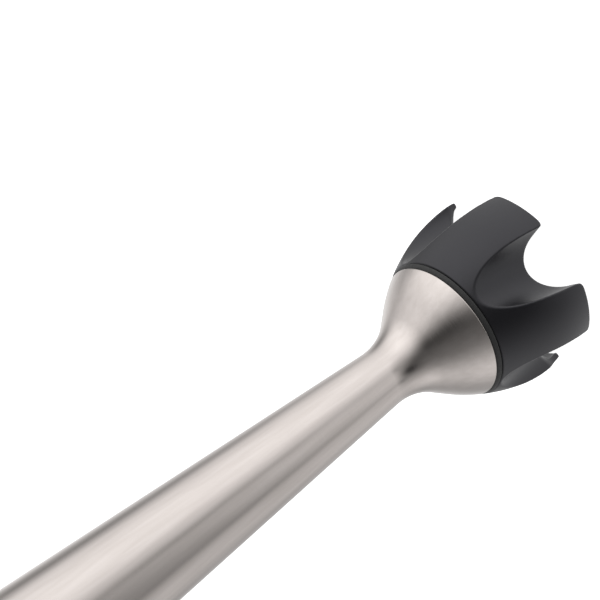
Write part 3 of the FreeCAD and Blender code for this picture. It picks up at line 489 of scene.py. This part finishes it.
NOSE_ARC = 90.0
NOSE_RADIUS = 20.0
NOSE_WALL = 2.0
TUBE_BORE = 13.3
TUBE_RADIUS = 14.9
BODY_RADIUS = 27.5
PAD_HALF_WIDTH = 5.7
PAD_HALF_HEIGHT = 4.2
PAD_BACK = 23.4
RIB_PITCH = 2.0
LEFT_YOKE = 228.0
RIGHT_YOKE = 232.6
YOKE_HEIGHT = 2.2
YOKE_BORE = 17.4
YOKE_RADIUS = 19.0
HOOK_TIP = 13.5
HOUSING_WALL = 2.2
NECK_BORE = 17.6
NECK_RADIUS = 19.5
BEZEL_HALF_WIDTH = 9.4
BEZEL_HALF_HEIGHT = 16.2
BEZEL_LAP = 0.6
BUTTON_HALF_WIDTH = 6.6
BUTTON_HALF_HEIGHT = 6.5
BUTTON_BACK = 22.6
DIAL_RADIUS = 25.8
SCALLOPS = 32
GRIP_SKIN = 1.2


def side_radius(level):
    """Radius of the handle's skin at a height, bellied in the middle."""
    heights = (BAND_TOP, 257, 270, 283, 296, 308, 320, 331, 343, 376, HOUSING_TOP)
    radii = (27.5, 27.6, 28.03, 28.33, 28.52, 28.6, 28.55, 28.4, 28.1, 27.0, 25.2)
    return np.interp(level, heights, radii)


def slab(value, lowest, highest):
    """Distance outside a span."""
    return np.maximum(lowest - value, value - highest)


def rounded_box(u, v, half_u, half_v, corner):
    """Distance to a rectangle with round corners, from its middle."""
    over_u, over_v = np.abs(u) - half_u + corner, np.abs(v) - half_v + corner
    outside = np.sqrt(np.maximum(over_u, 0) ** 2 + np.maximum(over_v, 0) ** 2)
    return outside + np.minimum(np.maximum(over_u, over_v), 0) - corner


def nose_radius(level, depth=0.0):
    """Radius of the nose, on an arc from the flange to the band."""
    run, rise = BODY_RADIUS - NOSE_RADIUS, BAND_BOTTOM - FLANGE_TOP
    half = math.hypot(run, rise) / 2
    off = math.sqrt(NOSE_ARC ** 2 - half ** 2) / (2 * half)
    centre = ((NOSE_RADIUS + BODY_RADIUS) / 2 - rise * off, (FLANGE_TOP + BAND_BOTTOM) / 2 + run * off)
    return centre[0] + np.sqrt((NOSE_ARC - depth) ** 2 - (level - centre[1]) ** 2)


def nose_solid(x, y, z):
    """The tapered nose, with a window on each side for the release pads."""
    radial = np.sqrt(x ** 2 + y ** 2)
    body = smooth_max(radial - nose_radius(z), slab(z, FLANGE_TOP, BAND_BOTTOM), 0.5)
    tube = np.where(z < BAND_BOTTOM - 10, TUBE_RADIUS - radial, -9)
    hollow = np.maximum(np.maximum(radial - nose_radius(z, NOSE_WALL), FLANGE_TOP + 3 - z), tube)
    solid = np.maximum(smooth_max(body, -hollow, 0.3), TUBE_BORE - radial)
    pad_window = np.maximum(rounded_box(y, z - PAD_MIDDLE, PAD_HALF_WIDTH + 0.3, PAD_HALF_HEIGHT + 0.3, 1.0),
                            TUBE_RADIUS + 3 - np.abs(x))
    hook_window = np.maximum(np.maximum(slab(y, -3.2, 3.2), slab(z, PAD_MIDDLE - 3.6, PAD_MIDDLE + 4.4)),
                             np.abs(x) - TUBE_RADIUS - 1)
    return smooth_max(smooth_max(solid, -pad_window, 0.4), -hook_window, 0.2)


def pad_solid(sign, yoke_bottom):
    """A ribbed release pad, its yoke round the spigot and its hook on the far side."""
    def solid(x, y, z):
        out = x * sign
        radial = np.sqrt(x ** 2 + y ** 2)
        level = slab(z, yoke_bottom, yoke_bottom + YOKE_HEIGHT)
        yoke = np.maximum(slab(radial, YOKE_BORE, YOKE_RADIUS), level)
        from_middle = z - PAD_MIDDLE
        ribs = 0.35 * np.cos(from_middle * 2 * math.pi / RIB_PITCH) - 0.35
        ribs = ribs * np.clip((3.6 - np.abs(from_middle)) / 0.6, 0, 1)
        face = np.maximum(rounded_box(y, from_middle, PAD_HALF_WIDTH, PAD_HALF_HEIGHT, 0.9), PAD_BACK - out)
        face = smooth_max(face, radial - nose_radius(z) - 1 - ribs, 0.6)
        stem = np.maximum(np.maximum(slab(out, 18.0, PAD_BACK + 1), np.abs(y) - 3.7), level)
        hook = np.maximum(np.maximum(slab(out, -18.0, -HOOK_TIP), np.abs(y) - 2.6), level)
        return np.minimum(np.minimum(yoke, face), np.minimum(stem, hook))
    return solid


def shell_solid(sign):
    """One half of the motor housing, with the bezel's window in the front one."""
    def solid(x, y, z):
        radial = np.sqrt(x ** 2 + y ** 2)
        skin = side_radius(z)
        outside = smooth_max(radial - skin, slab(z, BAND_TOP, HOUSING_TOP), 0.5)
        cavity = np.maximum(radial - skin + HOUSING_WALL, z - HOUSING_TOP + HOUSING_WALL)
        neck = np.maximum(radial - NECK_RADIUS, slab(z, HOUSING_TOP - 2, high("housing_front").z))
        body = np.maximum(np.minimum(np.maximum(outside, -cavity), neck), NECK_BORE - radial)
        body = smooth_max(body, y * sign, 0.7)
        if sign > 0:
            window = rounded_box(x, z - middle("button_bezel").z, BEZEL_HALF_WIDTH - BEZEL_LAP,
                                 BEZEL_HALF_HEIGHT - BEZEL_LAP, 2.0 - BEZEL_LAP)
            body = smooth_max(body, -np.maximum(window, y - high("button_bezel").y - 5), 0.25)
        return body
    return solid


def bezel_solid(x, y, z):
    """A thin black frame with a hole for each button."""
    radial = np.sqrt(x ** 2 + y ** 2)
    rim = rounded_box(x, z - middle("button_bezel").z, BEZEL_HALF_WIDTH - 0.1, BEZEL_HALF_HEIGHT - 0.1, 2.0)
    solid = smooth_max(radial - side_radius(z) - 0.4, rim, 0.5)
    solid = np.maximum(solid, y - high("button_bezel").y)
    for node in ("turbo_button", "power_button"):
        hole = rounded_box(x, z - middle(node).z, BUTTON_HALF_WIDTH + 0.35, BUTTON_HALF_HEIGHT + 0.35, 3.35)
        solid = smooth_max(solid, -hole, 0.3)
    return solid


def button_solid(node, dish):
    """A soft button with a round edge, dished if its dish isn't 0, on a short stem."""
    def solid(x, y, z):
        level = z - middle(node).z
        relief = dish * np.exp(-(x ** 2 + level ** 2) / 4.2 ** 2)
        rim = rounded_box(x, level, BUTTON_HALF_WIDTH, BUTTON_HALF_HEIGHT, 3.0)
        cap = smooth_max(np.sqrt(x ** 2 + y ** 2) - side_radius(z) - 1.6 + relief, rim, 1.2)
        cap = np.maximum(cap, y + BUTTON_BACK)
        stem = np.maximum(np.sqrt((x + 2.6) ** 2 + level ** 2) - 1.6,
                          slab(y, -BUTTON_BACK - 1, high(node).y))
        return np.minimum(cap, stem)
    return solid


def dial_solid(x, y, z):
    """The speed ring, with a scalloped rim and a skirt."""
    radial = np.sqrt(x ** 2 + y ** 2)
    pitch = 2 * math.pi / SCALLOPS
    turn = (np.arctan2(y, x) - FRONT + pitch / 2) % pitch - pitch / 2
    scallop = 1.0 - np.sqrt((radial * np.cos(turn) - DIAL_RADIUS - 0.5) ** 2 + (radial * np.sin(turn)) ** 2)
    bottom, top = low("speed_dial").z, high("speed_dial").z
    base = np.where(radial > DIAL_RADIUS - 1.3, bottom, bottom + 1.2)
    rim = smooth_max(radial - DIAL_RADIUS, slab(z, base, top), 0.8)
    return smooth_max(smooth_max(rim, scallop, 0.3), NECK_RADIUS + 0.5 - radial, 0.3)


def handle_parts():
    carve("nose_cone", nose_solid, 0.65, "handle", HOUSING, "handle_nose")
    carve("right_pad", pad_solid(1, RIGHT_YOKE), 0.4, "right_release", BUTTON, "release_button_right")
    carve("left_pad", pad_solid(-1, LEFT_YOKE), 0.4, "left_release", BUTTON, "release_button_left")
    carve("front_shell", shell_solid(1), 0.75, "handle", HOUSING, "housing_front")
    carve("rear_shell", shell_solid(-1), 0.75, "handle", HOUSING, "housing_rear")
    carve("bezel", bezel_solid, 0.4, "handle", BLACK, "button_bezel")
    carve("turbo_key", button_solid("turbo_button", 0.0), 0.35, "turbo_button", BUTTON, "turbo_button")
    carve("power_key", button_solid("power_button", 0.7), 0.35, "power_button", BUTTON, "power_button")
    carve("dial_ring", dial_solid, 0.45, "speed_dial", HOUSING, "speed_dial")
    bore, outside = 24.9, high("trim_band").x
    lathe("steel_band", softened([(bore, BAND_BOTTOM), (outside, BAND_BOTTOM), (outside, BAND_TOP),
                                  (bore, BAND_TOP)], 0.5), "handle", STEEL, "trim_band")
    grip_sleeve()
    top_end()
    dial_marks()


def grip_sleeve():
    """Soft rubber with shallow rings."""
    bottom, top = low("grip_sleeve").z, high("grip_sleeve").z
    pitch, depth, plain = 7.0, 0.55, 7.0
    skin = []
    for level in np.linspace(bottom + 0.6, top - 0.6, 170):
        ring = max(0.0, math.cos((level - (bottom + top) / 2) * 2 * math.pi / pitch)) ** 12
        if min(level - bottom, top - level) < plain:
            ring = 0.0
        skin.append((float(side_radius(level)) + GRIP_SKIN - 0.02 - depth * ring, level))
    inner = [(float(side_radius(level)), level) for level in np.linspace(top, bottom, 12)]
    lathe("ribbed_grip", softened(skin + inner, 0.6), "handle", GRIP, "grip_sleeve", 128)


def top_end():
    """The crowned cap and the collar that the cord leaves by."""
    bottom, crown, flat, outside = low("top_cap").z, high("top_cap").z, 9.0, high("top_cap").x
    edge, dome_arc, wall, ring = bottom + 7.6, 40.0, 2.2, 1.6
    half = math.hypot(outside - flat, crown - edge) / 2
    off = math.sqrt(dome_arc ** 2 - half ** 2) / (2 * half)
    centre = ((outside + flat) / 2 - (crown - edge) * off, (edge + crown) / 2 - (outside - flat) * off)
    start, end = (math.atan2(edge - centre[1], outside - centre[0]),
                  math.atan2(crown - centre[1], flat - centre[0]))
    hole, inside = 6.05, NECK_BORE - ring - 0.05
    lathe("crowned_cap", softened([
        (outside, bottom + 6), *arc(centre, dome_arc, start, end, 24), (hole, crown), (hole, crown - wall),
        (inside, bottom + 7.65), (inside, bottom), (inside + ring, bottom), (inside + ring, bottom + 6)],
        0.5), "handle", HOUSING, "top_cap")
    foot, lip, bore, sleeve = low("cord_gland").z, high("cord_gland").z, 3.65, 6.0
    lathe("cord_collar", softened([
        (bore, foot), (sleeve, foot), (sleeve, crown), (high("cord_gland").x, crown), (7.2, lip),
        (bore, lip)], 0.6), "handle", SEAL, "cord_gland", 96)


def dial_marks():
    """Dots on the dial that grow with the speed."""
    for number in range(9):
        size = 0.35 + 0.07 * number
        bearing = FRONT - math.radians(30 * number)
        dot(f"speed_dot_{number}", bearing, 24.0, high("speed_dial").z, size, "speed_dial")


def dot(name, bearing, radius, level, size, body):
    """A small printed disc, a hair proud of a level face."""
    sides = 20
    x, y = radius * math.cos(bearing), radius * math.sin(bearing)
    rim = [(x + size * math.cos(turn), y + size * math.sin(turn))
           for turn in np.linspace(0, 2 * math.pi, sides, endpoint=False)]
    points = [(u, v, level - 0.1) for u, v in rim] + [(u, v, level + 0.02) for u, v in rim]
    faces = [tuple(range(sides - 1, -1, -1)), tuple(range(sides, 2 * sides))]
    for index in range(sides):
        beside = (index + 1) % sides
        faces.append((index, beside, sides + beside, sides + index))
    mesh = mesh_of(name, points, faces)
    mesh.shade_flat()
    piece(name, mesh, body, MARK)


# ---- camera, light and floor -----------------------------------------------------------------

CAMERA_BEARING = math.radians(276.65)
CAMERA_DISTANCE = 413.88
CAMERA_HEIGHT = 269.33
CAMERA_HEADING = math.radians(91.66)
CAMERA_PITCH = math.radians(-25.54)
CAMERA_ROLL = math.radians(-125.3)


def camera():
    """A rolled 85 mm camera that looks down on the guard past the shaft."""
    data = bpy.data.cameras.new("camera")
    data.lens = 85
    data.sensor_width = 36
    data.clip_start = 0.01
    data.clip_end = 20
    made = bpy.data.objects.new("camera", data)
    bpy.context.scene.collection.objects.link(made)
    forward = Vector((math.cos(CAMERA_HEADING) * math.cos(CAMERA_PITCH),
                      math.sin(CAMERA_HEADING) * math.cos(CAMERA_PITCH), math.sin(CAMERA_PITCH)))
    level = forward.cross(Vector((0, 0, 1))).normalized()
    upright = level.cross(forward)
    right = level * math.cos(CAMERA_ROLL) + upright * math.sin(CAMERA_ROLL)
    up = -level * math.sin(CAMERA_ROLL) + upright * math.cos(CAMERA_ROLL)
    turn = Matrix((right, up, -forward)).transposed()
    place = Vector((math.cos(CAMERA_BEARING), math.sin(CAMERA_BEARING), 0)) * CAMERA_DISTANCE
    place.z = CAMERA_HEIGHT
    made.matrix_world = Matrix.LocRotScale(place * MM, turn.to_quaternion(), None)
    bpy.context.scene.camera = made


def floor():
    """A pale floor that glows a little, like a light table."""
    mesh = bpy.data.meshes.new("floor")
    size = 3.0
    mesh.from_pydata([(-size, -size, 0), (size, -size, 0), (size, size, 0), (-size, size, 0)],
                     [], [(0, 1, 2, 3)])
    look = Look("floor_white", Roughness=0.9)
    look.shader.inputs["Base Color"].default_value = (0.9, 0.9, 0.9, 1)
    look.shader.inputs["Emission Color"].default_value = (1, 1, 1, 1)
    look.shader.inputs["Emission Strength"].default_value = 1.0
    mesh.materials.append(look.material)
    made = bpy.data.objects.new("floor", mesh)
    bpy.context.scene.collection.objects.link(made)
    made.visible_glossy = False


# Soft lights all round, each with its bearing, height, tightness, strength and ceiling.
STUDIO = {
    "key": (328, 13, 2.9, 1.9, 2.0),
    "strip": (302, -25, 40.0, 0.2, 2.0),
    "edge": (14, 6, 10.6, 0.75, 2.0),
    "rim": (86, 16, 5.6, 1.76, 2.0),
    "fill": (179, 10, 5.1, 1.11, 2.0),
    "flag": (284, 43, 15.3, -0.55, 2.0),
    "side_flag": (265, 15, 20.0, -0.22, 2.0),
    "low_glow": (244, -30, 40.0, 0.22, 2.0),
    "left_gap": (217, -24, 110.0, -0.3, 2.0),
    "right_gap": (269, -24, 140.0, -0.38, 2.0),
    "low_flag": (240, -6, 30.0, -0.34, 2.0),
    "edge_flag": (37, -16, 30.0, -0.45, 2.0),
    "table": (341, -86, 3.5, 4.5, 1.0),
}


def studio():
    """A white room to the eye, which lights the part with soft lights that fade at the edges."""
    made = bpy.data.worlds.new("studio")
    made.use_nodes = True
    tree = made.node_tree
    background = tree.nodes["Background"]
    direction = tree.nodes.new("ShaderNodeTexCoord").outputs["Generated"]

    def maths(operation, first, second):
        node = tree.nodes.new("ShaderNodeMath")
        node.operation = operation
        for socket, source in zip(node.inputs, (first, second)):
            if isinstance(source, float):
                socket.default_value = source
            else:
                tree.links.new(source, socket)
        return node.outputs[0]

    total = 0.01
    for bearing, height, tightness, strength, ceiling in STUDIO.values():
        bearing, height = math.radians(bearing), math.radians(height)
        dot = tree.nodes.new("ShaderNodeVectorMath")
        dot.operation = "DOT_PRODUCT"
        dot.inputs[1].default_value = (math.cos(bearing) * math.cos(height),
                                       math.sin(bearing) * math.cos(height), math.sin(height))
        tree.links.new(direction, dot.inputs[0])
        fall = maths("MULTIPLY", maths("SUBTRACT", dot.outputs["Value"], 1.0), tightness)
        glow = maths("MULTIPLY", maths("POWER", math.e, fall), strength)
        total = maths("ADD", maths("MINIMUM", glow, ceiling), total)
    tree.links.new(maths("MINIMUM", maths("MAXIMUM", total, 0.02), 2.4), background.inputs["Strength"])
    white = tree.nodes.new("ShaderNodeBackground")
    mixed = tree.nodes.new("ShaderNodeMixShader")
    seen = tree.nodes.new("ShaderNodeLightPath").outputs["Is Camera Ray"]
    tree.links.new(seen, mixed.inputs["Fac"])
    tree.links.new(background.outputs["Background"], mixed.inputs[1])
    tree.links.new(white.outputs["Background"], mixed.inputs[2])
    tree.links.new(mixed.outputs["Shader"], tree.nodes["World Output"].inputs["Surface"])
    for node in (background, white):
        node.inputs["Color"].default_value = (1, 1, 1, 1)
    bpy.context.scene.world = made


dress_frame()
foot_shell()
guard_ring()
blade_guard()
foot_collar()
blade_parts()
handle_parts()
camera()
floor()
studio()
bpy.context.scene.view_settings.view_transform = "Standard"
